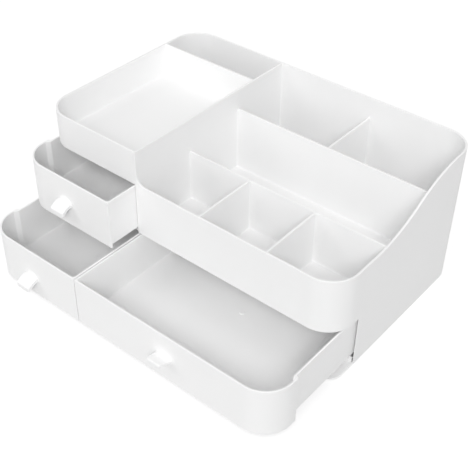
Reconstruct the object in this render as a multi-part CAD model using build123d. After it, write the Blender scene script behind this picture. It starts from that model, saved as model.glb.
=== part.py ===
# Makeup organizer: a moulded cabinet with trays and bins on top and three sliding drawers below.
# Lengths are in millimetres. X runs from left to right, Y from front to back and Z up.
# The origin is in the middle of the cabinet's footprint, on the surface that it stands on.
# The drawers are drawn partly out, each by its own amount.
import math
import os

from build123d import *

# Cabinet
width = 320.0
depth = 203.0
height = 138.0
wall = 2.0
plate = 1.5
corner_radius = 27.0
column_split = 110.9

# Trays and bins on top
tray_depth = 31.8
rear_left_bin_depth = 42.4
rear_bin_width = 99.8
low_rim_step = 0.5
middle_rim_step = 12.9
bin_rows = 3
front_bins = 3

# Rim of the right wall: level at the front, a sweep upwards, level again at the back
sweep_lead = 13.5
sweep_tail = 1.0
sweep_turn_share = 0.5
rim_fillet = 8.0

# Base plate, runners and feet
apron_setback = 3.0
apron_radius = 15.0
runner_width = 3.0
runner_inset = 16.0
runner_clearance = 0.3
foot_stand = 0.5
foot_height = 1.1
foot_radius = 7.0
foot_clearance = 0.2
foot_inset = 24.0

# Drawers
storeys = 2
drawer_wall = 1.8
drawer_floor = 1.6
box_radius = 4.0
skirt = 4.0
return_straight = 7.0
return_gap = 0.5
front_gap_below = 0.6
front_gap_above = 1.5
side_clearance = 0.8
split_clearance = 0.5
rear_clearance = 1.5
wide_drawn = 78.5
lower_drawn = 78.5
upper_drawn = 32.5

# Finger pulls
pull_reach = 13.0
pull_rise = 10.0
pull_root_thickness = 5.0
pull_tip_thickness = 2.6
pull_root_width = 22.0
pull_tip_width = 15.0
pull_tip_round_share = 1 / 3
small_pull_level = 17.0
wide_pull_level = 29.0

# Cuts run past the faces that they open by this much
overrun = 5.0

# Faces of the cabinet
left = -width / 2
right = width / 2
front = -depth / 2
back = depth / 2
split = left + column_split
bins_left = split + wall
drawer_line = split + wall / 2
bins_right = right - wall
cap_return = corner_radius + return_straight
wall_front = front + cap_return + return_gap
rear_start = back - corner_radius
tray_back = back - wall - rear_left_bin_depth - wall
beyond = width + depth

# Levels: the drawer fronts share the height that the tray, plates and gaps leave
front_gaps = front_gap_below + front_gap_above
drawer_stack = height - tray_depth - foot_stand - plate
front_height = drawer_stack / storeys - plate - front_gaps
base_top = foot_stand + plate
lower_front = base_top + front_gap_below
shelf_under = lower_front + front_height + front_gap_above
shelf_top = shelf_under + plate
upper_front = shelf_top + front_gap_below
tray_under = upper_front + front_height + front_gap_above
tray_top = tray_under + plate
low_rim = tray_under + low_rim_step
middle_rim = low_rim + middle_rim_step

# Bins: rows from front to back, and front bins from left to right
row_depth = (depth - 2 * wall - (bin_rows - 1) * wall) / bin_rows
front_bin_width = (bins_right - bins_left - (front_bins - 1) * wall) / front_bins
low_divider_front = front + wall + row_depth
tall_divider_front = low_divider_front + wall + row_depth


def block(x0, x1, y0, y1, z0, z1):
    """Plain block between two opposite corners."""
    return Pos((x0 + x1) / 2, (y0 + y1) / 2, (z0 + z1) / 2) * Box(x1 - x0, y1 - y0, z1 - z0)


def outline(x0, x1, y0, y1, front_left=0, front_right=0, back_left=0, back_right=0):
    """Rectangle seen from above, with a radius at each corner that has one."""
    shape = Pos((x0 + x1) / 2, (y0 + y1) / 2) * Rectangle(x1 - x0, y1 - y0)
    corners = ((x0, y0, front_left), (x1, y0, front_right), (x0, y1, back_left), (x1, y1, back_right))
    for x, y, radius in corners:
        if radius > 0:
            vertex = shape.vertices().sort_by_distance((x, y, 0))[0]
            shape = fillet(vertex, radius)
    return shape


def raised(shape, z0, z1):
    """Outline seen from above, raised from one level to another."""
    return Pos(0, 0, z0) * extrude(shape, amount=z1 - z0, dir=(0, 0, 1))


def inside():
    """The room inside the cabinet's outer wall, seen from above."""
    radius = corner_radius - wall
    return outline(left + wall, right - wall, front + wall, back - wall, radius, radius, radius, radius)


def ring():
    """The cabinet's outer wall seen from above."""
    radius = corner_radius
    return outline(left, right, front, back, radius, radius, radius, radius) - inside()


def part_of(shape, x0=-beyond, x1=beyond, y0=-beyond, y1=beyond):
    """The part of an outline that lies within a rectangle."""
    return shape & outline(x0, x1, y0, y1)


def outer_walls():
    """Back and side walls and the two front walls, parted where the rounded corners start."""
    tray_band = part_of(ring(), x1=split, y1=wall_front)
    bin_band = part_of(ring(), x0=bins_left, y1=wall_front)
    return {
        "back_wall": raised(part_of(ring(), y0=rear_start), foot_stand, height),
        "left_wall": block(left, left + wall, wall_front, rear_start, foot_stand, height),
        "right_wall": right_wall(),
        "tray_front_wall": raised(tray_band, tray_under, height),
        "bin_front_wall": raised(bin_band, shelf_under, low_rim) + rim_gusset(),
    }


def right_wall():
    """Side wall whose rim sweeps up from the level of the front bins to that of the back wall."""
    sweep_front = wall_front + sweep_lead
    sweep_back = rear_start - sweep_tail
    turn_y = sweep_front + sweep_turn_share * (sweep_back - sweep_front)
    turn_z = low_rim + sweep_turn_share * (height - low_rim)
    side = (
        Polyline((sweep_front, low_rim), (wall_front, low_rim), (wall_front, foot_stand),
                 (rear_start, foot_stand), (rear_start, height), (sweep_back, height))
        + TangentArc((sweep_front, low_rim), (turn_y, turn_z), tangent=(1, 0))
        + TangentArc((sweep_back, height), (turn_y, turn_z), tangent=(-1, 0))
    )
    return extrude(Plane.YZ.offset(bins_right) * make_face(side), amount=wall, dir=(1, 0, 0))


def rim_gusset():
    """Hollow-curved corner between the low front rim and the tray's side."""
    along_rim = (bins_left + rim_fillet, low_rim)
    up_side = (bins_left, low_rim + rim_fillet)
    edges = Polyline(along_rim, (bins_left, low_rim), up_side) + TangentArc(along_rim, up_side, tangent=(-1, 0))
    return extrude(Plane.XZ.offset(-front) * make_face(edges), amount=wall, dir=(0, 1, 0))


def floors():
    """Floor of the bins, shelf under the upper drawer and floor of the tray."""
    return {
        "bin_floor": raised(part_of(inside(), x0=bins_left), shelf_under, shelf_top),
        "drawer_shelf": raised(part_of(inside(), x1=split), shelf_under, shelf_top),
        "tray_floor": raised(part_of(inside(), x1=split, y1=tray_back), tray_under, tray_top),
    }


def inner_walls():
    """Walls and dividers that stand on the floors."""
    row_start = tall_divider_front + wall
    rear_left = bins_left + rear_bin_width
    low_back = low_divider_front + wall
    walls = {
        "middle_wall": block(split, bins_left, front, back - wall, shelf_under, height),
        "tray_back_wall": block(left + wall, split, tray_back, tray_back + wall, shelf_top, height),
        "low_divider": block(bins_left, bins_right, low_divider_front, low_back, shelf_top, low_rim),
        "tall_divider": block(bins_left, bins_right, tall_divider_front, row_start, shelf_top, middle_rim),
        "rear_divider": block(rear_left, rear_left + wall, row_start, back - wall, shelf_top, middle_rim),
    }
    for number in range(1, front_bins):
        right_face = bins_left + number * (front_bin_width + wall)
        walls[f"front_divider_{number}"] = block(
            right_face - wall, right_face, front + wall, low_divider_front, shelf_top, low_rim)
    return walls


def foot_places():
    """Name and place of each foot: one near each corner and one in the middle."""
    reach_x = width / 2 - foot_inset
    reach_y = depth / 2 - foot_inset
    return {
        "foot_front_left": (-reach_x, -reach_y),
        "foot_front_right": (reach_x, -reach_y),
        "foot_back_left": (-reach_x, reach_y),
        "foot_back_right": (reach_x, reach_y),
        "foot_middle": (0, 0),
    }


def base():
    """Base plate with its front apron, the sill behind the drawer fronts and the feet."""
    apron = outline(left, right, front + apron_setback, wall_front, apron_radius, apron_radius)
    bottom = raised(apron + part_of(inside(), y0=wall_front), foot_stand, base_top)
    parts = {}
    for name, (x, y) in foot_places().items():
        recess = Pos(x, y) * Circle(foot_radius + foot_clearance)
        bottom -= raised(recess, foot_stand - overrun, foot_height)
        parts[name] = raised(Pos(x, y) * Circle(foot_radius), 0, foot_height)
    parts["base_plate"] = bottom
    sill_top = lower_front + skirt - runner_clearance
    parts["base_sill"] = block(left + wall, bins_right, wall_front, wall_front + wall, base_top, sill_top)
    return parts


def runners(x0, x1, y1, floor_top, front_low):
    """Two ribs along the floor under a drawer that carry it as it slides."""
    top = front_low + skirt - runner_clearance
    y0 = wall_front + wall
    places = (x0 + runner_inset, x1 - runner_inset - runner_width)
    return Compound(children=[block(x, x + runner_width, y0, y1, floor_top, top) for x in places])


def sided_outline(inner_x, outer_x, y0, y1, front_radius=0, rear_radius=0):
    """Rectangle seen from above whose outer side, left or right, has rounded corners."""
    if outer_x > inner_x:
        return outline(inner_x, outer_x, y0, y1, front_right=front_radius, back_right=rear_radius)
    return outline(outer_x, inner_x, y0, y1, front_left=front_radius, back_left=rear_radius)


def drawer_outline(inner_x, outer_x, length, rear_radius, inset):
    """Closed drawer seen from above: a cap round the cabinet's corner and a narrower box behind it."""
    side = math.copysign(1, outer_x - inner_x)
    inner_face = inner_x + side * inset
    cap_face = outer_x - side * inset
    box_face = cap_face - side * (wall + side_clearance)
    cap_back = front + cap_return - inset
    cap = sided_outline(inner_face, cap_face, front + inset, cap_back, front_radius=corner_radius - inset)
    box = sided_outline(inner_face, box_face, front + corner_radius, front + length - inset,
                        rear_radius=rear_radius - inset)
    return cap + box


def drawer_skirt(inner_x, outer_x):
    """Edge of the front cap that hangs below the drawer's floor, seen from above."""
    side = math.copysign(1, outer_x - inner_x)
    cap = sided_outline(inner_x, outer_x, front, front + cap_return, front_radius=corner_radius)
    room = sided_outline(inner_x - side * overrun, outer_x - side * drawer_wall, front + drawer_wall,
                         front + cap_return + overrun, front_radius=corner_radius - drawer_wall)
    return cap - room


def drawer(inner_x, outer_x, length, front_low, rear_radius, drawn):
    """Open drawer with its skirted front cap, moved out of the cabinet by the drawn length."""
    floor_under = front_low + skirt
    rim = front_low + front_height
    outer = drawer_outline(inner_x, outer_x, length, rear_radius, 0)
    room = drawer_outline(inner_x, outer_x, length, rear_radius, drawer_wall)
    body = raised(outer, floor_under, rim) - raised(room, floor_under + drawer_floor, rim + overrun)
    body += raised(drawer_skirt(inner_x, outer_x), front_low, floor_under)
    return Pos(0, -drawn, 0) * body


def finger_pull(middle_x, tip_top, drawn):
    """Tongue that leaves the drawer front in a hollow curve and ends in a level rounded tip."""
    face = front - drawn
    root_under = pull_rise - pull_root_thickness
    side = (
        TangentArc((pull_reach, 0), (0, pull_rise), tangent=(-1, 0))
        + Line((0, pull_rise), (0, root_under))
        + TangentArc((pull_reach, -pull_tip_thickness), (0, root_under), tangent=(-1, 0))
        + Line((pull_reach, -pull_tip_thickness), (pull_reach, 0))
    )
    side_plane = Plane(origin=(middle_x, face, tip_top), x_dir=(0, -1, 0), z_dir=(-1, 0, 0))
    band = extrude(side_plane * make_face(side), amount=pull_root_width / 2, both=True)
    plan_low = tip_top - pull_tip_thickness - overrun
    return band & raised(pull_plan(middle_x, face), plan_low, tip_top + pull_rise + overrun)


def pull_plan(middle_x, face):
    """Finger pull seen from above: it narrows from the root to a tip with rounded corners."""
    tip_y = face - pull_reach
    root_x = pull_root_width / 2
    tip_x = pull_tip_width / 2
    plan = make_face(Polyline(
        (middle_x - root_x, face), (middle_x - tip_x, tip_y),
        (middle_x + tip_x, tip_y), (middle_x + root_x, face), close=True))
    for x in (middle_x - tip_x, middle_x + tip_x):
        vertex = plan.vertices().sort_by_distance((x, tip_y, 0))[0]
        plan = fillet(vertex, pull_tip_round_share * pull_tip_width)
    return plan


def drawers():
    """The three drawers, their finger pulls and the runners under them."""
    lower_length = depth - wall - rear_clearance
    upper_length = tray_back - front - rear_clearance
    bay_radius = corner_radius - wall - side_clearance
    upper_inner = split - split_clearance
    lower_inner = drawer_line - split_clearance
    wide_inner = drawer_line + split_clearance
    upper_middle = (left + upper_inner) / 2
    lower_middle = (left + lower_inner) / 2
    wide_middle = (wide_inner + right) / 2
    return {
        "wide_drawer": drawer(wide_inner, right, lower_length, lower_front, bay_radius, wide_drawn),
        "wide_drawer_pull": finger_pull(wide_middle, lower_front + wide_pull_level, wide_drawn),
        "wide_drawer_runners": runners(wide_inner, right, rear_start, base_top, lower_front),
        "lower_drawer": drawer(lower_inner, left, lower_length, lower_front, bay_radius, lower_drawn),
        "lower_drawer_pull": finger_pull(lower_middle, lower_front + small_pull_level, lower_drawn),
        "lower_drawer_runners": runners(left, lower_inner, rear_start, base_top, lower_front),
        "upper_drawer": drawer(upper_inner, left, upper_length, upper_front, box_radius, upper_drawn),
        "upper_drawer_pull": finger_pull(upper_middle, upper_front + small_pull_level, upper_drawn),
        "upper_drawer_runners": runners(left, upper_inner, tray_back, shelf_top, upper_front),
    }


nodes = {**outer_walls(), **floors(), **inner_walls(), **base(), **drawers()}
os.makedirs("parts", exist_ok=True)
for name, shape in nodes.items():
    export_step(shape, f"parts/{name}.step")
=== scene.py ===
"""Looks of a white desktop makeup organizer with open bins on top and three sliding drawers below.

Sizes are written in millimetres, as a mould maker would write them, and meshes are made in metres in the frame
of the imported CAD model: X from the small drawers to the wide drawer, Y from the fronts to the back, Z up.
"""
import logging
from dataclasses import dataclass, field
from enum import Enum
from math import atan2, cos, pi, radians, sin, sqrt
from typing import Sequence

import bmesh
import bpy
from bpy.types import Material, Mesh, Node, NodeTree, Object
from mathutils import Matrix, Vector


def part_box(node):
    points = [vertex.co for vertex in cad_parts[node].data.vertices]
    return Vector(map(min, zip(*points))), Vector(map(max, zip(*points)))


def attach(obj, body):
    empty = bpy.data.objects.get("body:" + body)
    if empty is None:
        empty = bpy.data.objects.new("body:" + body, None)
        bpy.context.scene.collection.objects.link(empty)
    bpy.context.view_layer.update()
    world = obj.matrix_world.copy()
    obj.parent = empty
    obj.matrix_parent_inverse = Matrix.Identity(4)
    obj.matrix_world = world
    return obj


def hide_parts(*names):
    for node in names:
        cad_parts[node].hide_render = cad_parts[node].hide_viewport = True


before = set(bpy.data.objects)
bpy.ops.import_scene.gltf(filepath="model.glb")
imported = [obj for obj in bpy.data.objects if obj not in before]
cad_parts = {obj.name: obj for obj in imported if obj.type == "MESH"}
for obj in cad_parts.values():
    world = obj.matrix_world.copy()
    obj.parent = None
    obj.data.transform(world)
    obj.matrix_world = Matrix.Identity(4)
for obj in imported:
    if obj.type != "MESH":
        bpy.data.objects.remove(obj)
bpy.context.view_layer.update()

MM = 0.001
WELD = 2e-6  # metres within which points become one
SLIVER = 1e-6  # metres below which an edge is dropped
SKIN = 0.02  # step between faces that would otherwise share a plane
LARGE_RADIUS = 12.0  # corners above this radius get more facets
FACETS, LARGE_FACETS, CABINET_FACETS = 6, 24, 28
RIM_FACETS, FILLET_FACETS, DISC_FACETS = 3, 6, 8
TINY_FACETS, SMALL_FACETS = 4, 5
FLAT_WEIGHT = 60  # how far large faces outweigh small ones in the shading
LOW, HIGH = 0, 1
X, Y, Z = 0, 1, 2
SQUARE = ((-1, -1), (1, -1), (1, 1), (-1, 1))
FEET = ("foot_front_left", "foot_front_right", "foot_back_left", "foot_back_right", "foot_middle")
WHITE = (1.0, 1.0, 1.0, 1.0)
Point = tuple[float, float, float]
Plan = tuple[float, float]
Colour = tuple[float, float, float]
Link = tuple[Node, str | int, Node, str | int]

logging.basicConfig(level=logging.INFO, format="%(name)s: %(message)s")
log = logging.getLogger("organizer")


class Side(Enum):
    """Side of the cabinet that a drawer's rounded corner is on."""

    LEFT = -1
    RIGHT = 1


class Join(Enum):
    """Way in which solids are combined."""

    FUSE = "UNION"
    CUT = "DIFFERENCE"


class Slot(Enum):
    """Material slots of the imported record."""

    SHELL = "white_shell"
    DRAWER = "white_drawer"
    PAD = "foot_pad"


class Body(Enum):
    """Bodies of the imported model."""

    CABINET = "cabinet"
    WIDE = "wide_drawer_body"
    LOWER = "lower_drawer_body"
    UPPER = "upper_drawer_body"


# Nodes and finishes


def add_node(tree: NodeTree, kind: str, inputs: dict[str | int, object] | None = None,
             **options: object) -> Node:
    """Add a node to a tree.

    Args:
        tree: The tree.
        kind: Type of the node.
        inputs: Values of its inputs.
        options: Its other settings.

    Returns:
        The node.
    """
    node = tree.nodes.new(kind)
    for key, value in options.items():
        setattr(node, key, value)
    for key, value in (inputs or {}).items():
        node.inputs[key].default_value = value
    return node


def wire(tree: NodeTree, *links: Link) -> None:
    """Join outputs of nodes to inputs of others.

    Args:
        tree: Tree that holds the nodes.
        links: Node and output, then node and input, of each link.
    """
    for source, output, sink, entry in links:
        tree.links.new(source.outputs[output], sink.inputs[entry])


@dataclass(frozen=True)
class MouldedPlastic:
    """Satin moulded plastic with a faint flow pattern, a fine mould grain and an uneven sheen."""

    name: str
    light: Colour
    shade: Colour
    flow_scale: float
    sheen_scale: float
    roughness_low: float
    roughness_high: float
    grain_scale: float
    grain_depth: float
    specular: float
    flow_detail: float = 3.0
    sheen_detail: float = 4.0
    grain_detail: float = 2.0
    grain_strength: float = 0.5
    noise_low: float = 0.3
    noise_high: float = 0.7

    def material(self) -> Material:
        """Build the node material.

        Returns:
            The finished material.
        """
        material = bpy.data.materials.new(self.name)
        material.use_nodes = True
        tree = material.node_tree
        shader = tree.nodes["Principled BSDF"]
        shader.inputs["Specular IOR Level"].default_value = self.specular
        where = add_node(tree, "ShaderNodeTexCoord")
        flow, sheen, grain = noises = [
            add_node(tree, "ShaderNodeTexNoise", {"Scale": scale, "Detail": detail})
            for scale, detail in ((self.flow_scale, self.flow_detail), (self.sheen_scale, self.sheen_detail),
                                  (self.grain_scale, self.grain_detail))]
        tint = add_node(tree, "ShaderNodeValToRGB")
        stops = ((self.noise_low, self.shade), (self.noise_high, self.light))
        for element, (position, colour) in zip(tint.color_ramp.elements, stops):
            element.position, element.color = position, (*colour, 1.0)
        spread = add_node(tree, "ShaderNodeMapRange", {
            "From Min": self.noise_low, "From Max": self.noise_high,
            "To Min": self.roughness_low, "To Max": self.roughness_high})
        bump = add_node(tree, "ShaderNodeBump", {
            "Strength": self.grain_strength, "Distance": self.grain_depth * MM})
        wire(tree, *((where, "Object", noise, "Vector") for noise in noises),
             (flow, "Fac", tint, "Fac"), (tint, "Color", shader, "Base Color"),
             (sheen, "Fac", spread, "Value"), (spread, "Result", shader, "Roughness"),
             (grain, "Fac", bump, "Height"), (bump, "Normal", shader, "Normal"))
        return material


SHELL_WHITE = MouldedPlastic("shell_white", (0.965, 0.965, 0.965), (0.955, 0.955, 0.955), 14.0, 55.0, 0.38, 0.48,
                             1500.0, 0.02, 0.4)
DRAWER_WHITE = MouldedPlastic("drawer_white", (0.965, 0.965, 0.965), (0.955, 0.955, 0.955), 17.0, 60.0, 0.36, 0.46,
                              1500.0, 0.02, 0.4)
PAD_GREY = MouldedPlastic("pad_grey", (0.50, 0.50, 0.49), (0.44, 0.44, 0.43), 60.0, 140.0, 0.70, 0.85, 900.0, 0.05,
                          0.3)


# Solids


def arc(steps: int) -> list[float]:
    """Angles from zero to a right angle."""
    return [pi / 2 * step / steps for step in range(steps + 1)]


def quarter(radius: float, steps: int) -> list[Plan]:
    """Rounded edge from an upright to a level face: distance from the first face and below the second."""
    return [(radius * (1 - cos(a)), radius * (1 - sin(a))) for a in arc(steps)]


def wall_section(thickness: float, rounding: float) -> list[Plan]:
    """Top of a wall from its outer to its inner face: distance from the outer face and height over the rim."""
    rising = [(across, -below) for across, below in quarter(rounding, RIM_FACETS)]
    return rising + [(thickness - across, drop) for across, drop in reversed(rising)]


def box(node: str) -> tuple[Vector, Vector]:
    """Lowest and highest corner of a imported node, in millimetres."""
    low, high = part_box(node)
    return low / MM, high / MM


@dataclass(frozen=True)
class Corner:
    """Corner of an outline seen from above; its facets follow its radius where no number is given."""

    x: float
    y: float
    radius: float = 0.0
    steps: int = 0

    @property
    def facets(self) -> int:
        """Facets of the corner."""
        return self.steps or (LARGE_FACETS if self.radius > LARGE_RADIUS else FACETS)


@dataclass(frozen=True)
class Outline:
    """Closed outline seen from above, anticlockwise, with rounded corners and extra stops along its edges."""

    corners: tuple[Corner, ...]
    stops: dict[int, tuple[Plan, ...]] = field(default_factory=dict)

    def ring(self, inset: float) -> list[Plan]:
        """Points of the outline moved inwards.

        Args:
            inset: Distance inwards; a negative one moves the outline outwards.

        Returns:
            The points, as many for every inset.
        """
        points: list[Plan] = []
        for index, corner in enumerate(self.corners):
            before, after = self._normal(index - 1), self._normal(index)
            share = 1.0 + before.dot(after)
            vertex = Vector((corner.x, corner.y)) + (before + after) * (inset / share)
            turn = -before.angle_signed(after)
            way = 1.0 if turn > 0.0 else -1.0
            radius = max(corner.radius - way * inset, 0.0) if corner.radius else 0.0
            centre = vertex + (before + after) * (way * radius / share)
            start = atan2(before.y, before.x)
            for step in range(corner.facets + 1):
                angle = start + turn * step / corner.facets
                points.append((centre.x - way * radius * cos(angle), centre.y - way * radius * sin(angle)))
            points += [(x + after.x * inset, y + after.y * inset) for x, y in self.stops.get(index, ())]
        return points

    def _normal(self, index: int) -> Vector:
        """Inward direction of the edge that starts at a corner.

        Args:
            index: Number of the corner.

        Returns:
            The direction, of length one.
        """
        start, end = self.corners[index], self.corners[(index + 1) % len(self.corners)]
        along = Vector((end.x - start.x, end.y - start.y)).normalized()
        return Vector((-along.y, along.x))

    def mirrored(self) -> "Outline":
        """The same outline on the other side of X = 0, without its stops."""
        return Outline(tuple(Corner(-c.x, c.y, c.radius, c.steps) for c in reversed(self.corners)))


def rectangle(x0: float, x1: float, y0: float, y1: float, radii: Sequence[float] = (0, 0, 0, 0)) -> Outline:
    """Rectangle seen from above, with the radii of its corners from the front left one anticlockwise."""
    places = ((x0, y0), (x1, y0), (x1, y1), (x0, y1))
    return Outline(tuple(Corner(x, y, radius) for (x, y), radius in zip(places, radii)))


def disc(x: float, y: float, radius: float) -> Outline:
    """Circle seen from above."""
    return Outline(tuple(Corner(x + sx * radius, y + sy * radius, radius, DISC_FACETS) for sx, sy in SQUARE))


def settle(shape: bmesh.types.BMesh, mesh: Mesh) -> None:
    """Clean a shape and leave it in a mesh.

    Args:
        shape: The shape, which is freed.
        mesh: The mesh that takes it.
    """
    bmesh.ops.remove_doubles(shape, verts=shape.verts, dist=WELD)
    bmesh.ops.dissolve_degenerate(shape, edges=shape.edges, dist=SLIVER)
    bmesh.ops.recalc_face_normals(shape, faces=shape.faces)
    shape.to_mesh(mesh)
    shape.free()


def evaluated(obj: Object) -> Mesh:
    """Take the mesh that an object's modifiers make, and drop the modifiers.

    Args:
        obj: The object.

    Returns:
        The new mesh.
    """
    graph = bpy.context.evaluated_depsgraph_get()
    graph.update()
    mesh = bpy.data.meshes.new_from_object(obj.evaluated_get(graph))
    obj.modifiers.clear()
    return mesh


class Solid:
    """A closed mesh that is combined with others before it becomes a piece."""

    def __init__(self, name: str, rings: Sequence[Sequence[Point]], looped: bool = False) -> None:
        """Loft a closed mesh through rings of points.

        Args:
            name: Name of the object.
            rings: Rings with equally many points each.
            looped: True where the last ring joins the first, as in a wall that runs round.
        """
        shape = bmesh.new()
        rows = [[shape.verts.new([value * MM for value in point]) for point in ring] for ring in rings]
        pairs = list(zip(rows, rows[1:])) + ([(rows[-1], rows[0])] if looped else [])
        for lower, upper in pairs:
            for index in range(len(lower)):
                after = (index + 1) % len(lower)
                shape.faces.new((lower[index], lower[after], upper[after], upper[index]))
        if not looped:
            shape.faces.new(list(reversed(rows[0])))
            shape.faces.new(rows[-1])
        mesh = bpy.data.meshes.new(name)
        settle(shape, mesh)
        self.obj = bpy.data.objects.new(name, mesh)

    @classmethod
    def stack(cls, name: str, outline: Outline, levels: Sequence[Plan]) -> "Solid":
        """Loft an outline through rings, each given by its inset and its level, from the lowest up."""
        return cls(name, [[(x, y, z) for x, y in outline.ring(inset)] for inset, z in levels])

    @classmethod
    def prism(cls, name: str, outline: Outline, z0: float, z1: float, inset: float = 0.0) -> "Solid":
        """Raise an outline, moved inwards by an inset, from one level to another."""
        return cls.stack(name, outline, ((inset, z0), (inset, z1)))

    def combine(self, others: Sequence["Solid"], join: Join) -> None:
        """Fuse other solids with this one or cut them out of it; the others are used up.

        Args:
            others: The other solids.
            join: Whether they are fused or cut out.
        """
        scene = bpy.context.scene
        group = bpy.data.collections.new("workbench")
        scene.collection.children.link(group)
        scene.collection.objects.link(self.obj)
        for other in others:
            group.objects.link(other.obj)
        modifier = self.obj.modifiers.new("combine", "BOOLEAN")
        modifier.operation = join.value
        modifier.operand_type = "COLLECTION"
        modifier.collection = group
        modifier.solver = "EXACT"
        result = evaluated(self.obj)
        old, self.obj.data = self.obj.data, result
        bpy.data.meshes.remove(old)
        for other in others:
            mesh = other.obj.data
            bpy.data.objects.remove(other.obj)
            bpy.data.meshes.remove(mesh)
        bpy.data.collections.remove(group)
        scene.collection.objects.unlink(self.obj)


def finish_piece(obj: Object, material: Material, sharp: float = 38.0) -> Object:
    """Clean an object, shade it smoothly with its flat faces kept flat, and give it its finish.

    Args:
        obj: The object.
        material: Its finish.
        sharp: Edges that turn by more degrees than this stay crisp.

    Returns:
        The object, linked to the scene.
    """
    mesh = obj.data
    shape = bmesh.new()
    shape.from_mesh(mesh)
    settle(shape, mesh)
    mesh.materials.clear()
    mesh.materials.append(material)
    mesh.polygons.foreach_set("material_index", [0] * len(mesh.polygons))
    mesh.shade_smooth()
    mesh.set_sharp_from_angle(angle=radians(sharp))
    if obj.name not in bpy.context.scene.collection.objects:
        bpy.context.scene.collection.objects.link(obj)
    weight = obj.modifiers.new("flat_faces", "WEIGHTED_NORMAL")
    weight.mode = "FACE_AREA"
    weight.weight = FLAT_WEIGHT
    weight.keep_sharp = True
    return obj


# Cabinet


def read(node: str, end: int, axis: int) -> float:
    """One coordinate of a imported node's box, in millimetres."""
    return round(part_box(node)[end][axis] / MM, 4)


@dataclass(frozen=True)
class Faces:
    """Faces and levels of the cabinet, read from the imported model."""

    left: float = read("left_wall", LOW, X)
    right: float = read("right_wall", HIGH, X)
    front: float = read("bin_front_wall", LOW, Y)
    back: float = read("back_wall", HIGH, Y)
    height: float = read("back_wall", HIGH, Z)
    stand: float = read("back_wall", LOW, Z)
    split: float = read("middle_wall", LOW, X)
    bins_left: float = read("middle_wall", HIGH, X)
    bins_right: float = read("right_wall", LOW, X)
    wall_front: float = read("left_wall", LOW, Y)
    shelf_under: float = read("bin_floor", LOW, Z)
    shelf_top: float = read("bin_floor", HIGH, Z)
    tray_under: float = read("tray_floor", LOW, Z)
    tray_top: float = read("tray_floor", HIGH, Z)
    tray_back: float = read("tray_back_wall", LOW, Y)
    low_rim: float = read("low_divider", HIGH, Z)
    middle_rim: float = read("tall_divider", HIGH, Z)
    low_divider: float = read("low_divider", LOW, Y)
    tall_divider: float = read("tall_divider", LOW, Y)
    rear_divider: float = read("rear_divider", LOW, X)
    front_dividers: tuple[float, ...] = (read("front_divider_1", LOW, X), read("front_divider_2", LOW, X))
    wall: float = read("left_wall", HIGH, X) - read("left_wall", LOW, X)


@dataclass
class Pocket:
    """Open bin or tray of the cabinet: its inner faces, its floor and how high each corner's rounding runs."""

    x0: float
    x1: float
    y0: float
    y1: float
    floor: float
    radii: tuple[float, float, float, float]
    tops: tuple[float, float, float, float]
    fillet: float = 1.5
    into: float = 0.4
    slab_spare: float = 1.0
    post_spare: float = 0.6

    def outline(self) -> Outline:
        """Inner faces seen from above."""
        return rectangle(self.x0, self.x1, self.y0, self.y1, self.radii)

    def fills(self, name: str) -> list[Solid]:
        """Material from which the fillets of the pocket are cut.

        Args:
            name: Start of the solids' names.

        Returns:
            A slab on the floor and a post in each corner that has a small radius.
        """
        foot = self.floor - self.into
        top = self.floor + self.fillet + self.slab_spare
        solids = [Solid.prism(f"{name}_slab", self.outline(), foot, top, -self.into)]
        for index, (sx, sy) in enumerate(SQUARE):
            radius = self.radii[index]
            if radius > LARGE_RADIUS:
                continue
            x, y = self.x0 if sx < 0 else self.x1, self.y0 if sy < 0 else self.y1
            xs = sorted((x + sx * self.into, x - sx * (radius + self.post_spare)))
            ys = sorted((y + sy * self.into, y - sy * (radius + self.post_spare)))
            solids.append(Solid.prism(f"{name}_post_{index}", rectangle(*xs, *ys), foot, self.tops[index]))
        return solids

    def cutter(self, name: str, above: float) -> Solid:
        """The room of the pocket up to a level, with a rounded floor edge and rounded corners."""
        curve = [(SKIN + across, self.floor + up) for up, across in quarter(self.fillet, FILLET_FACETS)]
        return Solid.stack(name, self.outline(), curve + [(SKIN, above)])


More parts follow.
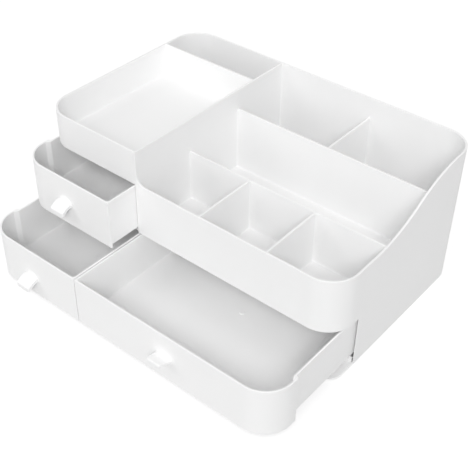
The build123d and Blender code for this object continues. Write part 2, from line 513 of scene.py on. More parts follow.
@dataclass
class CabinetShell:
    """The cabinet moulding: outer wall with its swept rim, floors, dividers, bins and trays."""

    faces: Faces
    corner_radius: float = 27.0
    rim_rounding: float = 0.5
    sweep_front: float = -53.5
    sweep_back: float = 73.5
    sweep_facets: int = 44
    gusset: float = 8.0
    gusset_facets: int = 8
    gusset_walls: int = 3
    pocket_radius: float = 1.7
    post_drop: float = 1.2
    wall_edge: float = 0.5
    taper: float = 6.0
    step: float = 0.05
    into: float = 0.9
    floor_spare: float = 1.0
    bay_spare: float = 5.0
    taper_spare: float = 1.0
    room_spare: float = 10.0

    def build(self, material: Material) -> Object:
        """Fuse the walls and floors, cut the fillets of the bins and dress the shell.

        Args:
            material: Finish of the shell.

        Returns:
            The shell, riding on the cabinet.
        """
        shell = self.outer_wall()
        shell.combine([self.bay(), self.lead_in(Side.RIGHT), self.lead_in(Side.LEFT)], Join.CUT)
        parts = self.inner_walls() + self.floors()
        pockets = self.pockets()
        for number, pocket in enumerate(pockets):
            parts += pocket.fills(f"pocket_{number}")
        shell.combine(parts, Join.FUSE)
        above = self.faces.height + self.room_spare
        shell.combine([p.cutter(f"room_{n}", above) for n, p in enumerate(pockets)], Join.CUT)
        obj = finish_piece(shell.obj, material)
        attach(obj, Body.CABINET.value)
        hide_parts("back_wall", "left_wall", "right_wall", "tray_front_wall", "bin_front_wall",
                    "middle_wall", "bin_floor", "drawer_shelf", "tray_floor", "tray_back_wall", "low_divider",
                    "tall_divider", "rear_divider", "front_divider_1", "front_divider_2")
        return obj

    def rim(self, x: float, y: float) -> float:
        """Level of the outer wall's rim.

        Args:
            x: Place along the width.
            y: Place along the depth.

        Returns:
            The level of the rim there.
        """
        f = self.faces
        if x <= f.bins_left:
            return f.height
        if y < f.front + self.gusset_walls * f.wall and x < f.bins_left + self.gusset:
            across = f.bins_left + self.gusset - x
            return f.low_rim + self.gusset - sqrt(max(self.gusset ** 2 - across ** 2, 0.0))
        return self.sweep(y)

    def sweep(self, y: float) -> float:
        """Level of the right wall's rim, which sweeps up in two arcs.

        Args:
            y: Place along the depth.

        Returns:
            The level of the rim there.
        """
        f = self.faces
        run = self.sweep_back - self.sweep_front
        half_run, half_rise = run / 2, (f.height - f.low_rim) / 2
        radius = (half_run ** 2 + half_rise ** 2) / (2 * half_rise)
        along = min(max(y - self.sweep_front, 0.0), run)
        if along <= half_run:
            return f.low_rim + radius - sqrt(radius ** 2 - along ** 2)
        return f.height - radius + sqrt(radius ** 2 - (run - along) ** 2)

    def outer_wall(self) -> Solid:
        """The outer wall, all round, with its rounded rim.

        Returns:
            The solid.
        """
        f, count = self.faces, self.sweep_facets
        places = ((f.left, f.front), (f.right, f.front), (f.right, f.back), (f.left, f.back))
        gusset = [f.bins_left, f.bins_left + self.step]
        gusset += [f.bins_left + across for across, _ in quarter(self.gusset, self.gusset_facets)[1:]]
        sweep = [self.sweep_front + (self.sweep_back - self.sweep_front) * n / count for n in range(count + 1)]
        stops = {0: tuple((x, f.front) for x in gusset), 1: tuple((f.right, y) for y in sweep)}
        outline = Outline(tuple(Corner(x, y, self.corner_radius, CABINET_FACETS) for x, y in places), stops)
        rims = [self.rim(x, y) for x, y in outline.ring(0.0)]
        rings = [[(x, y, top + drop) for (x, y), top in zip(outline.ring(across), rims)]
                 for across, drop in wall_section(f.wall, self.rim_rounding)]
        outside, inside = ([(x, y, f.stand) for x, y in outline.ring(inset)] for inset in (0.0, f.wall))
        return Solid("cabinet_shell", [outside, *rings, inside], looped=True)

    def bay(self) -> Solid:
        """The room in front of the side walls that the drawer fronts fill.

        Returns:
            The solid to cut out.
        """
        f, over = self.faces, self.bay_spare
        left, right, foot = f.left - over, f.right + over, f.stand - over
        profile = [(left, foot), (right, foot), (right, f.shelf_under), (f.split, f.shelf_under),
                   (f.split, f.tray_under), (left, f.tray_under)]
        return Solid("bay", [[(x, y, z) for x, z in profile] for y in (f.front - over, f.wall_front)])

    def lead_in(self, side: Side) -> Solid:
        """Taper inside the front end of a side wall, which leaves a thin edge beside the drawer.

        Args:
            side: Side of the wall.

        Returns:
            The solid to cut out.
        """
        f, over = self.faces, self.taper_spare
        inner, outer = f.right - f.wall, f.right - self.wall_edge
        top = f.shelf_under if side is Side.RIGHT else f.tray_under
        plan = [(inner - over, f.wall_front - over), (outer, f.wall_front - over), (outer, f.wall_front),
                (inner, f.wall_front + self.taper), (inner - over, f.wall_front + self.taper)]
        return Solid("lead_in", [[(side.value * x, y, z) for x, y in plan] for z in (f.stand - over, top)])

    def straight_wall(self, name: str, xs: Plan, ys: Plan, foot: float, rim: float) -> Solid:
        """Straight wall with a rounded rim.

        Args:
            name: Name of the solid.
            xs: Left and right end or face.
            ys: Front and back end or face.
            foot: Level of its foot.
            rim: Level of its rim.

        Returns:
            The solid.
        """
        (x0, x1), (y0, y1) = xs, ys
        along_x = x1 - x0 > y1 - y0
        thickness = y1 - y0 if along_x else x1 - x0
        top = [(across, rim + drop) for across, drop in wall_section(thickness, self.rim_rounding)]
        section = [(0.0, foot), *top, (thickness, foot)]
        if along_x:
            return Solid(name, [[(x, y0 + across, z) for across, z in section] for x in xs])
        return Solid(name, [[(x0 + across, y, z) for across, z in section] for y in ys])

    def inner_walls(self) -> list[Solid]:
        """Walls and dividers inside the outer wall, run a little into what they meet.

        Returns:
            The solids.
        """
        f, into, wall = self.faces, self.into, self.faces.wall
        foot, row = f.shelf_top - into, f.tall_divider + wall
        bins = (f.bins_left - into, f.bins_right + into)
        walls = [
            ("middle", (f.split + SKIN, f.bins_left - SKIN), (f.front + into, f.back - into), f.shelf_under + SKIN,
             f.height - SKIN),
            ("tray_back", (f.left + into, f.split + into), (f.tray_back, f.tray_back + wall), foot,
             f.height - 2 * SKIN),
            ("low_row", bins, (f.low_divider, f.low_divider + wall), foot, f.low_rim - SKIN),
            ("tall_row", bins, (f.tall_divider, row), foot, f.middle_rim),
            ("rear_row", (f.rear_divider, f.rear_divider + wall), (row - into, f.back - into), foot,
             f.middle_rim - SKIN),
        ]
        walls += [(f"front_row_{number}", (x, x + wall), (f.front + into, f.low_divider + into), foot,
                   f.low_rim - 2 * SKIN) for number, x in enumerate(f.front_dividers)]
        return [self.straight_wall(*sizes) for sizes in walls]

    def floors(self) -> list[Solid]:
        """Floor of the bins, shelf under the upper drawer and floor of the tray.

        Returns:
            The solids.
        """
        f, into = self.faces, self.into
        inner, near = self.corner_radius - f.wall, f.wall - SKIN
        wide = inner + self.floor_spare
        shelf = rectangle(f.left + near, f.split + into, f.front + near, f.back - near, (inner, 0, 0, inner))
        bins = rectangle(f.split + into, f.right - into, f.front + into, f.back - into, (0, wide, wide, 0))
        tray = rectangle(f.left + into, f.split + into, f.front + into, f.tray_back + into, (wide, 0, 0, 0))
        return [
            Solid.prism("shelf", shelf, f.shelf_under, f.shelf_top),
            Solid.prism("bin_floor_plate", bins, f.shelf_under + SKIN, f.shelf_top - SKIN),
            Solid.prism("tray_plate", tray, f.tray_under + SKIN, f.tray_top),
        ]

    def pockets(self) -> list[Pocket]:
        """The tray and the seven bins.

        Returns:
            The pockets.
        """
        f, r, wall = self.faces, self.pocket_radius, self.faces.wall
        big = self.corner_radius - wall
        tall, low, mid = (rim - self.post_drop for rim in (f.height, f.low_rim, f.middle_rim))
        left, right, front, back = f.left + wall, f.bins_right, f.front + wall, f.back - wall
        row, rear = f.low_divider + wall, f.tall_divider + wall
        pockets = [
            Pocket(left, f.split, front, f.tray_back, f.tray_top, (big, r, r, r), (tall,) * 4),
            Pocket(left, f.split, f.tray_back + wall, back, f.shelf_top, (r, r, r, big), (tall,) * 4),
            Pocket(f.bins_left, right, row, f.tall_divider, f.shelf_top, (r,) * 4, (low, low, mid, mid)),
            Pocket(f.bins_left, f.rear_divider, rear, back, f.shelf_top, (r,) * 4, (mid, mid, mid, tall)),
            Pocket(f.rear_divider + wall, right, rear, back, f.shelf_top, (r, r, big, r), (mid,) * 4),
        ]
        starts = (f.bins_left, *(x + wall for x in f.front_dividers))
        ends = (*f.front_dividers, right)
        for x0, x1 in zip(starts, ends):
            radii = (r, big if x1 == right else r, r, r)
            pockets.append(Pocket(x0, x1, front, f.low_divider, f.shelf_top, radii, (low,) * 4))
        return pockets


# Base, runners and pads


@dataclass
class BasePlate:
    """Plate under the cabinet with its front apron, a sill behind the drawer fronts and recesses for the pads."""

    faces: Faces
    corner_radius: float = 27.0
    apron_radius: float = 15.0
    edge: float = 0.4
    sill_edge: float = 0.5
    recess_radius: float = 7.2
    overlap: float = 2.0

    def build(self, material: Material) -> Object:
        """Fuse apron, plate and sill, cut the recesses and dress the piece.

        Args:
            material: Finish of the plate.

        Returns:
            The piece, riding on the cabinet.
        """
        f, edge, r = self.faces, self.edge, self.apron_radius
        low, high = box("base_plate")
        sill_low, sill_high = box("base_sill")
        inner = self.corner_radius - f.wall
        apron = rectangle(low.x, high.x, low.y, f.wall_front - SKIN, (r, r, 0, 0))
        levels = [(edge, low.z), (0.0, low.z + edge), (0.0, high.z - edge), (edge, high.z)]
        plate = Solid.stack("base_plate_moulding", apron, levels)
        floor = rectangle(f.left + f.wall + SKIN, f.bins_right - SKIN, f.wall_front - self.overlap,
                          f.back - f.wall - SKIN, (0, 0, inner, inner))
        sill = rectangle(sill_low.x + SKIN, sill_high.x - SKIN, sill_low.y, sill_high.y)
        step, top = self.sill_edge, sill_high.z
        parts = [Solid.prism("floor", floor, low.z + SKIN, high.z - SKIN),
                 Solid.stack("sill", sill, [(0.0, low.z + step), (0.0, top - step), (step, top)])]
        plate.combine(parts, Join.FUSE)
        recesses = []
        for name in FEET:
            foot_low, foot_high = box(name)
            x, y = (foot_low.x + foot_high.x) / 2, (foot_low.y + foot_high.y) / 2
            recesses.append(Solid.prism(f"recess_{name}", disc(x, y, self.recess_radius), low.z - self.overlap,
                                        foot_high.z))
        plate.combine(recesses, Join.CUT)
        obj = finish_piece(plate.obj, material)
        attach(obj, Body.CABINET.value)
        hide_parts("base_plate", "base_sill")
        return obj


class GeometryTree:
    """Geometry Nodes tree with named lengths as inputs."""

    def __init__(self, name: str, sizes: Sequence[str]) -> None:
        """Start a tree with a geometry input and output.

        Args:
            name: Name of the tree.
            sizes: Names of its lengths.
        """
        self.group = bpy.data.node_groups.new(name, "GeometryNodeTree")
        socket = self.group.interface.new_socket
        for way in ("INPUT", "OUTPUT"):
            socket("Geometry", in_out=way, socket_type="NodeSocketGeometry")
        self.keys = {size: socket(size, in_out="INPUT", socket_type="NodeSocketFloat").identifier
                     for size in sizes}
        self.source = self.node("NodeGroupInput")
        self.sink = self.node("NodeGroupOutput")

    def node(self, kind: str, inputs: dict[str | int, object] | None = None, **options: object) -> Node:
        """Add a node to the tree."""
        return add_node(self.group, kind, inputs, **options)

    def mesh(self, name: str, guide: Mesh, sizes: dict[str, float]) -> Object:
        """Run the tree on a guide and keep the result as a plain mesh.

        Args:
            name: Name of the piece.
            guide: Points or lines that the tree works on.
            sizes: Value of each named input, in metres.

        Returns:
            The object, with no modifier left on it.
        """
        obj = bpy.data.objects.new(name, guide)
        bpy.context.scene.collection.objects.link(obj)
        modifier = obj.modifiers.new("build", "NODES")
        modifier.node_group = self.group
        for key, value in sizes.items():
            modifier[self.keys[key]] = value
        obj.data = evaluated(obj)
        bpy.data.meshes.remove(guide)
        return obj


@dataclass
class RunnerRibs:
    """Ribs on the floors under the drawers, one rounded bar swept along each guide line."""

    nodes: tuple[str, ...] = ("wide_drawer_runners", "lower_drawer_runners", "upper_drawer_runners")
    rib_width: float = 3.0
    rounding: float = 0.6

    def build(self, material: Material) -> Object:
        """Sweep the ribs and dress them.

        Args:
            material: Finish of the ribs.

        Returns:
            The piece, riding on the cabinet.
        """
        lines: list[Point] = []
        height = 0.0
        for node in self.nodes:
            low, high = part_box(node)
            height = high.z - low.z
            middle = (low.z + high.z) / 2
            for x in (low.x + self.rib_width * MM / 2, high.x - self.rib_width * MM / 2):
                lines += [(x, low.y, middle), (x, high.y, middle)]
        guide = bpy.data.meshes.new("rib_lines")
        guide.from_pydata(lines, [(n, n + 1) for n in range(0, len(lines), 2)], [])
        obj = self.tree(material).mesh("runner_ribs", guide, {
            "Rib Width": self.rib_width * MM, "Rib Height": height, "Rounding": self.rounding * MM})
        finish_piece(obj, material)
        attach(obj, Body.CABINET.value)
        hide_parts(*self.nodes)
        return obj

    @staticmethod
    def tree(material: Material) -> GeometryTree:
        """Build the tree that sweeps a rounded bar along each line.

        Args:
            material: Finish of the ribs.

        Returns:
            The tree.
        """
        tree = GeometryTree("sweep_ribs", ("Rib Width", "Rib Height", "Rounding"))
        lines = tree.node("GeometryNodeMeshToCurve")
        upright = tree.node("GeometryNodeSetCurveNormal", mode="Z_UP")
        bar = tree.node("GeometryNodeCurvePrimitiveQuadrilateral", mode="RECTANGLE")
        corners = tree.node("GeometryNodeFilletCurve", {"Count": RIM_FACETS}, mode="POLY")
        sweep = tree.node("GeometryNodeCurveToMesh", {"Fill Caps": True})
        real = tree.node("GeometryNodeRealizeInstances")
        paint = tree.node("GeometryNodeSetMaterial", {"Material": material})
        wire(tree.group,
             (tree.source, "Geometry", lines, "Mesh"), (lines, "Curve", upright, "Curve"),
             (tree.source, "Rib Width", bar, "Width"), (tree.source, "Rib Height", bar, "Height"),
             (bar, "Curve", corners, "Curve"), (tree.source, "Rounding", corners, "Radius"),
             (upright, "Curve", sweep, "Curve"), (corners, "Curve", sweep, "Profile Curve"),
             (sweep, "Mesh", real, "Geometry"), (real, "Geometry", paint, "Geometry"),
             (paint, "Geometry", tree.sink, "Geometry"))
        return tree


@dataclass
class FootPads:
    """Anti-slip pads in the recesses of the base plate, one pad repeated on each point."""

    nodes: tuple[str, ...] = FEET
    chamfer: float = 0.35
    sharp: float = 30.0
    sides: int = 48

    def build(self, material: Material) -> Object:
        """Repeat the pad and dress it.

        Args:
            material: Finish of the pads.

        Returns:
            The piece, riding on the cabinet.
        """
        places: list[Point] = []
        radius = height = 0.0
        for node in self.nodes:
            low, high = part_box(node)
            radius, height = (high.x - low.x) / 2, high.z - low.z
            places.append(((low.x + high.x) / 2, (low.y + high.y) / 2, low.z))
        guide = bpy.data.meshes.new("pad_points")
        guide.from_pydata(places, [], [])
        obj = self.tree(material).mesh("foot_pads", guide, {
            "Radius": radius, "Height": height, "Chamfer": self.chamfer * MM})
        finish_piece(obj, material, self.sharp)
        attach(obj, Body.CABINET.value)
        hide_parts(*self.nodes)
        return obj

    def tree(self, material: Material) -> GeometryTree:
        """Build the tree that puts a chamfered pad on each point.

        Args:
            material: Finish of the pads.

        Returns:
            The tree.
        """
        tree = GeometryTree("repeat_pads", ("Radius", "Height", "Chamfer"))
        given, sides = tree.source, {"Vertices": self.sides}
        narrow, upright = (tree.node("ShaderNodeMath", operation="SUBTRACT") for _ in range(2))
        middle = tree.node("ShaderNodeMath", {1: 0.5}, operation="MULTIPLY_ADD")
        cone = tree.node("GeometryNodeMeshCone", sides, fill_type="NONE")
        barrel = tree.node("GeometryNodeMeshCylinder", sides, fill_type="NONE")
        under, cover = (tree.node("GeometryNodeMeshCircle", sides, fill_type="NGON") for _ in range(2))
        lift, top = (tree.node("GeometryNodeTransform") for _ in range(2))
        lift_by, top_by = (tree.node("ShaderNodeCombineXYZ") for _ in range(2))
        join = tree.node("GeometryNodeJoinGeometry")
        weld = tree.node("GeometryNodeMergeByDistance", {"Distance": SLIVER})
        repeat = tree.node("GeometryNodeInstanceOnPoints")
        real = tree.node("GeometryNodeRealizeInstances")
        paint = tree.node("GeometryNodeSetMaterial", {"Material": material})
        wire(tree.group,
             (given, "Radius", narrow, 0), (given, "Chamfer", narrow, 1),
             (given, "Height", upright, 0), (given, "Chamfer", upright, 1),
             (upright, 0, middle, 0), (given, "Chamfer", middle, 2),
             (given, "Radius", cone, "Radius Top"), (narrow, 0, cone, "Radius Bottom"),
             (given, "Chamfer", cone, "Depth"), (given, "Radius", barrel, "Radius"), (upright, 0, barrel, "Depth"),
             (middle, 0, lift_by, "Z"), (lift_by, "Vector", lift, "Translation"),
             (barrel, "Mesh", lift, "Geometry"), (narrow, 0, under, "Radius"), (given, "Radius", cover, "Radius"),
             (given, "Height", top_by, "Z"), (top_by, "Vector", top, "Translation"),
             (cover, "Mesh", top, "Geometry"),
             (cone, "Mesh", join, "Geometry"), (lift, "Geometry", join, "Geometry"),
             (under, "Mesh", join, "Geometry"), (top, "Geometry", join, "Geometry"),
             (join, "Geometry", weld, "Geometry"), (given, "Geometry", repeat, "Points"),
             (weld, "Geometry", repeat, "Instance"), (repeat, "Instances", real, "Geometry"),
             (real, "Geometry", paint, "Geometry"), (paint, "Geometry", tree.sink, "Geometry"))
        return tree


# Drawers


@dataclass(frozen=True)
class PullForm:
    """Shape of a finger pull: a tongue that flows out of the front and has straight sides and a blunt tip.

    Levels are measured from the apex, where the tongue's sides leave the front.
    """

    reach: float = 11.5
    root_width: float = 16.2
    tip_width: float = 15.6
    tip_round: float = 1.4
    apex: float = 6.8
    shift: float = 0.0
    slope: float = 0.0
    droop: float = 5.6
    nose: float = 1.0
    thickness: float = 4.0
    bow: float = 0.4
    blend_reach: float = 8.0
    blend_rise: float = 6.4
    blend_fade: float = 2.4
    blend_start: float = 0.08
    edge: float = 0.6
    sunk: float = 0.4
    half_columns: int = 12
    blend_facets: int = 9
    nose_facets: int = 5
    top_facets: int = 4
    top_least: float = 0.4
    under_facets: int = 8

    def solid(self, name: str, middle: float, face: float, apex: float) -> Solid:
        """Loft the tongue from its left side to its right side.

        Args:
            name: Name of the solid.
            middle: Middle of the pull along the width.
            face: Front face of the drawer.
            apex: Level at which the tongue's sides leave the front.

        Returns:
            The solid, with its root sunk in the drawer's front.
        """
        rounding, half = quarter(self.edge, RIM_FACETS), self.half_columns
        columns = [(-1.0, *pair) for pair in rounding]
        columns += [(step / half, self.edge, 0.0) for step in range(1 - half, half)]
        columns += [(1.0, *pair) for pair in reversed(rounding)]
        rings = []
        for share, from_side, thinner in columns:
            root, tip = (share * (width / 2 - from_side) for width in (self.root_width, self.tip_width))
            profile = self.profile(abs(share), self.column_reach(abs(tip)), thinner)
            rings.append([(middle + root + (tip - root) * out / self.reach, face - out, apex + level)
                          for out, level in profile])
        return Solid(name, rings)

    def column_reach(self, across: float) -> float:
        """Reach of the tongue at a distance from its middle, shorter at its rounded corners."""
        past = max(across - (self.tip_width / 2 - self.tip_round), 0.0)
        return self.reach - self.tip_round + sqrt(max(self.tip_round ** 2 - past ** 2, 0.0))

    def line(self, out: float) -> float:
        """Level of the tongue's upper edges at a distance from the front."""
        return self.slope * out - self.droop * (max(out, 0.0) / self.reach) ** 2

    def depth(self, out: float, share: float) -> float:
        """Thickness of the tongue, which is fuller in the middle of its tip."""
        return self.thickness + self.bow * (1.0 - share ** 2) * (out / self.reach) ** 2

    def profile(self, share: float, reach: float, thinner: float) -> list[Plan]:
        """Section of the tongue seen from the side.

        Args:
            share: Place across the tongue: 0 in its middle, 1 at its sides.
            reach: Reach of the tongue there.
            thinner: Distance by which the section is drawn in, where the sides are rounded.

        Returns:
            Distance from the front and level of each point, over the top, round the tip and back below.
        """
        rise = self.blend_rise * (1.0 - share ** self.blend_fade)
        flat = reach - self.nose
        blend = min(self.blend_reach, flat - self.top_least)
        points = [(-self.sunk, rise - thinner)]
        for a in arc(self.blend_facets):
            out = blend * (1 - cos(a)) - self.blend_start * cos(a)
            points.append((out, self.line(out) + rise * (1 - sin(a)) - thinner))
        for step in range(1, self.top_facets):
            out = blend + (flat - blend) * step / self.top_facets
            points.append((out, self.line(out) - thinner))
        for a in arc(self.nose_facets):
            points.append((flat + (self.nose - thinner) * sin(a),
                           self.line(flat) - self.nose + (self.nose - thinner) * cos(a)))
        front = reach - thinner
        foot = self.line(reach) - self.depth(reach, share) + thinner
        points += [(front - across, foot + up) for across, up in quarter(self.edge, RIM_FACETS)]
        for step in reversed(range(self.under_facets)):
            out = (front - self.edge) * step / self.under_facets
            points.append((out, self.line(out) - self.depth(out, share) + thinner))
        return points + [(-self.sunk, thinner - self.thickness)]


@dataclass
class Drawer:
    """Open drawer: a front cap that wraps round the cabinet's corner, a box behind it and a finger pull.

    Its outlines are drawn for the right side, and mirrored for a drawer on the left.
    """

    node: str
    body: Body
    side: Side
    pull: PullForm
    rear_radius: float
    gate_back: float = 0.0
    wall: float = 1.8
    floor: float = 1.6
    skirt: float = 4.0
    corner_radius: float = 27.0
    cap_return: float = 34.0
    cap_spare: float = 0.05
    inset: float = 2.8
    rim_rounding: float = 0.5
    edge: float = 0.5
    fillet: float = 1.5
    corner_fillet: float = 2.4
    side_round: float = 0.4
    cap_round: float = 1.9
    notch_round: float = 0.85
    rear_round: float = 3.0
    under_round: float = 4.0
    under_facets: int = 8
    jog_run: float = 4.0
    jog_round: float = 1.5
    gate_radius: float = 2.4
    gate_rise: float = 0.7
    gate_edge: float = 0.3
    gate_sunk: float = 0.5
    cut_spare: float = 5.0
    edge_spare: float = 1.0
    low: Vector = field(init=False)
    high: Vector = field(init=False)
    inner_x: float = field(init=False)
    outer_x: float = field(init=False)

    def __post_init__(self) -> None:
        """Read the drawer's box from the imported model."""
        self.low, self.high = low, high = box(self.node)
        self.inner_x, self.outer_x = (low.x, high.x) if self.side is Side.RIGHT else (-high.x, -low.x)

    @property
    def box_x(self) -> float:
        """Outer face of the box behind the cap."""
        return self.outer_x - self.inset

    @property
    def cap_back(self) -> float:
        """Back end of the front cap."""
        return self.low.y + self.cap_return

    def build(self, material: Material) -> Object:
        """Cut the drawer out of its block, fuse the pull and dress the piece.

        Args:
            material: Finish of the drawer.

        Returns:
            The drawer, riding on its body.
        """
        rim, foot = self.high.z, self.low.z
        under = foot + self.skirt
        floor = under + self.floor
        lip = quarter(self.rim_rounding, RIM_FACETS)
        levels = [(self.edge, foot), (0.0, foot + self.edge), *[(across, rim - below) for across, below in lip]]
        drawer = Solid.stack(self.node + "_moulding", self.outer(), levels)
        room = [(across, floor + up) for up, across in quarter(self.fillet, FILLET_FACETS)]
        room += [(-across, rim - below) for across, below in lip] + [(-self.rim_rounding, rim + self.cut_spare)]
        cuts = [Solid.stack("room", self.inner(), room),
                Solid.prism("under", self.under(), foot - self.cut_spare, under), self.under_edge(under)]
        pull_low, pull_high = box(self.node + "_pull")
        middle = (pull_low.x + pull_high.x) / 2
        pull = self.pull.solid("lip", middle + self.pull.shift, self.low.y, pull_low.z + self.pull.apex)
        drawer.combine([pull], Join.FUSE)
        drawer.combine(cuts, Join.CUT)
        if self.gate_back:
            drawer.combine([self.gate_mark(middle, self.low.y + self.gate_back, floor)], Join.FUSE)
        obj = finish_piece(drawer.obj, material)
        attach(obj, self.body.value)
        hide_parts(self.node, self.node + "_pull")
        return obj

    def place(self, *corners: Corner) -> Outline:
        """Put an outline that is drawn for the right side on the drawer's own side."""
        outline = Outline(corners)
        return outline if self.side is Side.RIGHT else outline.mirrored()

    def outer(self) -> Outline:
        """Outer faces seen from above.

        Returns:
            The outline.
        """
        front, back = self.low.y, self.high.y
        return self.place(
            Corner(self.inner_x, front, self.side_round, TINY_FACETS),
            Corner(self.outer_x, front, self.corner_radius, CABINET_FACETS),
            Corner(self.outer_x, self.cap_back, self.cap_round, SMALL_FACETS),
            Corner(self.box_x, self.cap_back, self.notch_round, TINY_FACETS),
            Corner(self.box_x, back, self.rear_radius),
            Corner(self.inner_x, back, self.rear_round, SMALL_FACETS),
        )

    def inner(self) -> Outline:
        """Inner faces seen from above.

        Returns:
            The outline.
        """
        w, fillet = self.wall, self.corner_fillet
        front, back, jog = self.low.y + w, self.high.y - w, self.cap_back - w
        return self.place(
            Corner(self.inner_x + w, front, fillet),
            Corner(self.outer_x - w, front, self.corner_radius - w, CABINET_FACETS),
            Corner(self.outer_x - w, jog - self.jog_run, self.jog_round, SMALL_FACETS),
            Corner(self.box_x - w, jog, self.jog_round, SMALL_FACETS),
            Corner(self.box_x - w, back, max(self.rear_radius - w, fillet)),
            Corner(self.inner_x + w, back, fillet),
        )

    def under(self) -> Outline:
        """The room below the floor, behind the skirt, seen from above.

        Returns:
            The outline.
        """
        w, cap_back = self.wall, self.cap_back - self.cap_spare
        left, right = self.inner_x - self.cut_spare, self.outer_x + self.cut_spare
        front, back = self.low.y + w, self.high.y + self.cut_spare
        return self.place(
            Corner(left, front), Corner(self.outer_x - w, front, self.corner_radius - w, CABINET_FACETS),
            Corner(self.outer_x - w, cap_back), Corner(right, cap_back), Corner(right, back), Corner(left, back),
        )

    def under_edge(self, under: float) -> Solid:
        """What the rounding of the box's lower outer edge takes away.

        Args:
            under: Level of the box's underside.

        Returns:
            The solid to cut out.
        """
        x, r, over = self.box_x, self.under_round, self.edge_spare
        profile = [(x + over, under - over), (x + over, under + r)]
        profile += [(x - across, under + up) for across, up in quarter(r, self.under_facets)]
        profile.append((x - r, under - over))
        return Solid("under_edge", [[(self.side.value * px, y, pz) for px, pz in profile]
                                    for y in (self.cap_back - self.cap_spare, self.high.y + over)])

    def gate_mark(self, x: float, y: float, floor: float) -> Solid:
        """Small round mark that the mould's gate leaves on the floor.

        Args:
            x: Place along the width.
            y: Place along the depth.
            floor: Level of the floor.

        Returns:
            The solid.
        """
        top, edge = floor + self.gate_rise, self.gate_edge
        levels = [(0.0, floor - self.gate_sunk), (0.0, top - edge), (edge, top)]
        return Solid.stack("gate_mark", disc(x, y, self.gate_radius), levels)


# Studio


@dataclass(frozen=True)
class Lamp:
    """Square soft light that points at the object."""

    name: str
    place: Point
    size: float
    power: float

    def hang(self, target: Point) -> None:
        """Add the lamp to the scene.

        Args:
            target: Where it points.
        """
        data = bpy.data.lights.new(self.name, "AREA")
        data.shape = "SQUARE"
        data.size = self.size
        data.energy = self.power
        obj = bpy.data.objects.new(self.name, data)
        obj.location = self.place
        obj.rotation_euler = (Vector(target) - Vector(self.place)).to_track_quat("-Z", "Y").to_euler()
        bpy.context.scene.collection.objects.link(obj)


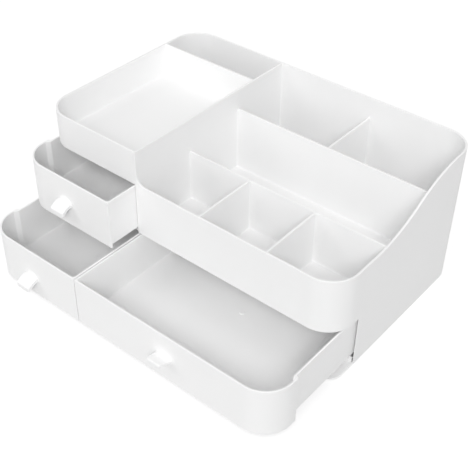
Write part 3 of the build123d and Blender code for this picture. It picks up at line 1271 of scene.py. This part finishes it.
@dataclass
class Studio:
    """Pale floor, soft light and the camera, in metres."""

    floor_size: float = 8.0
    floor_tone: float = 0.5
    floor_glow: float = 0.62
    floor_roughness: float = 0.9
    position: Point = (0.41144, -0.53607, 0.55897)
    right: Point = (0.77152, 0.6361, 0.01201)
    up: Point = (-0.40725, 0.47927, 0.77746)
    lens: float = 70.05
    sensor: float = 36.0
    dome_strength: float = 0.54
    target: Point = (0.0, -0.04, 0.06)
    lamps: tuple[Lamp, ...] = (
        Lamp("key_light", (3.9126, -4.8716, 5.0946), 2.4, 248.0),
        Lamp("left_light", (-4.0522, -4.8692, 4.9853), 4.0, 88.0),
        Lamp("right_light", (7.4979, -2.049, 1.9954), 4.0, 18.0),
        Lamp("front_light", (2.6764, -7.393, 1.7233), 4.0, 46.0),
    )

    def build(self) -> None:
        """Set up the floor, the world, the lamps and the camera."""
        bpy.context.scene.view_settings.view_transform = "Standard"
        self.floor()
        self.world()
        for lamp in self.lamps:
            lamp.hang(self.target)
        self.camera()

    def floor(self) -> None:
        """Lay a pale floor that shows as white and keeps the object's soft shadow."""
        half = self.floor_size / 2
        mesh = bpy.data.meshes.new("studio_floor")
        mesh.from_pydata([(sx * half, sy * half, 0) for sx, sy in SQUARE], [], [(0, 1, 2, 3)])
        obj = bpy.data.objects.new("studio_floor", mesh)
        bpy.context.scene.collection.objects.link(obj)
        material = bpy.data.materials.new("floor_white")
        material.use_nodes = True
        tree = material.node_tree
        shader = tree.nodes["Principled BSDF"]
        shader.inputs["Base Color"].default_value = (self.floor_tone, self.floor_tone, self.floor_tone, 1.0)
        shader.inputs["Roughness"].default_value = self.floor_roughness
        shader.inputs["Specular IOR Level"].default_value = 0.0
        glow = add_node(tree, "ShaderNodeEmission", {"Strength": self.floor_glow})
        both = add_node(tree, "ShaderNodeAddShader")
        pick = add_node(tree, "ShaderNodeMixShader")
        wire(tree, (shader, "BSDF", both, 0), (glow, "Emission", both, 1), (self.seen(tree), "Value", pick, "Fac"),
             (shader, "BSDF", pick, 1), (both, "Shader", pick, 2),
             (pick, "Shader", tree.nodes["Material Output"], "Surface"))
        mesh.materials.append(material)

    @staticmethod
    def seen(tree: NodeTree) -> Node:
        """Tell rays that show the background from rays that light the object.

        Args:
            tree: Node tree of the floor or the world.

        Returns:
            A node whose value is one for the camera's rays, reflections and rays through clear pieces.
        """
        path = add_node(tree, "ShaderNodeLightPath")
        mirror, clear = (add_node(tree, "ShaderNodeMath", operation="MAXIMUM") for _ in range(2))
        wire(tree, (path, "Is Camera Ray", mirror, 0), (path, "Is Glossy Ray", mirror, 1),
             (mirror, "Value", clear, 0), (path, "Is Transmission Ray", clear, 1))
        return clear

    def world(self) -> None:
        """Light the scene with a soft dome and show a white background."""
        world = bpy.data.worlds.new("studio_world")
        bpy.context.scene.world = world
        world.use_nodes = True
        tree = world.node_tree
        light = tree.nodes["Background"]
        light.inputs["Color"].default_value = WHITE
        light.inputs["Strength"].default_value = self.dome_strength
        white = add_node(tree, "ShaderNodeBackground", {"Strength": 1.0, "Color": WHITE})
        pick = add_node(tree, "ShaderNodeMixShader")
        wire(tree, (self.seen(tree), "Value", pick, "Fac"), (light, "Background", pick, 1),
             (white, "Background", pick, 2), (pick, "Shader", tree.nodes["World Output"], "Surface"))

    def camera(self) -> None:
        """Set the camera where the photograph was taken."""
        data = bpy.data.cameras.new("photo_camera")
        data.lens = self.lens
        data.sensor_width = self.sensor
        obj = bpy.data.objects.new("photo_camera", data)
        right, up = Vector(self.right), Vector(self.up)
        rows = Matrix((right, up, right.cross(up))).transposed().to_4x4()
        obj.matrix_world = Matrix.Translation(self.position) @ rows
        bpy.context.scene.collection.objects.link(obj)
        bpy.context.scene.camera = obj


def report(obj: Object) -> None:
    """Log the size of a finished piece.

    Args:
        obj: The piece.
    """
    loose = bmesh.new()
    loose.from_mesh(obj.data)
    open_edges = sum(1 for edge in loose.edges if not edge.is_manifold)
    loose.free()
    log.info("%s: %d faces, %d open edges", obj.name, len(obj.data.polygons), open_edges)


def main() -> None:
    """Build every piece, then the studio."""
    faces = Faces()
    shell_white, drawer_white, pad_grey = (finish.material() for finish in (SHELL_WHITE, DRAWER_WHITE, PAD_GREY))
    lower_pull = PullForm(shift=-1.2)
    upper_pull = PullForm(apex=10.8, shift=0.6)
    wide_pull = PullForm(reach=13.0, root_width=16.8, tip_width=13.6, apex=-0.6, shift=-3.2, slope=0.4, droop=1.2,
                         thickness=3.2, bow=1.0, blend_reach=5.0, blend_rise=5.0)
    report(CabinetShell(faces).build(shell_white))
    report(BasePlate(faces).build(shell_white))
    report(RunnerRibs().build(shell_white))
    report(FootPads().build(pad_grey))
    drawers = (
        Drawer("wide_drawer", Body.WIDE, Side.RIGHT, wide_pull, rear_radius=24.2, gate_back=95.0),
        Drawer("lower_drawer", Body.LOWER, Side.LEFT, lower_pull, rear_radius=24.2),
        Drawer("upper_drawer", Body.UPPER, Side.LEFT, upper_pull, rear_radius=4.0),
    )
    for drawer in drawers:
        report(drawer.build(drawer_white))
    Studio().build()


if __name__ == "__main__":
    main()
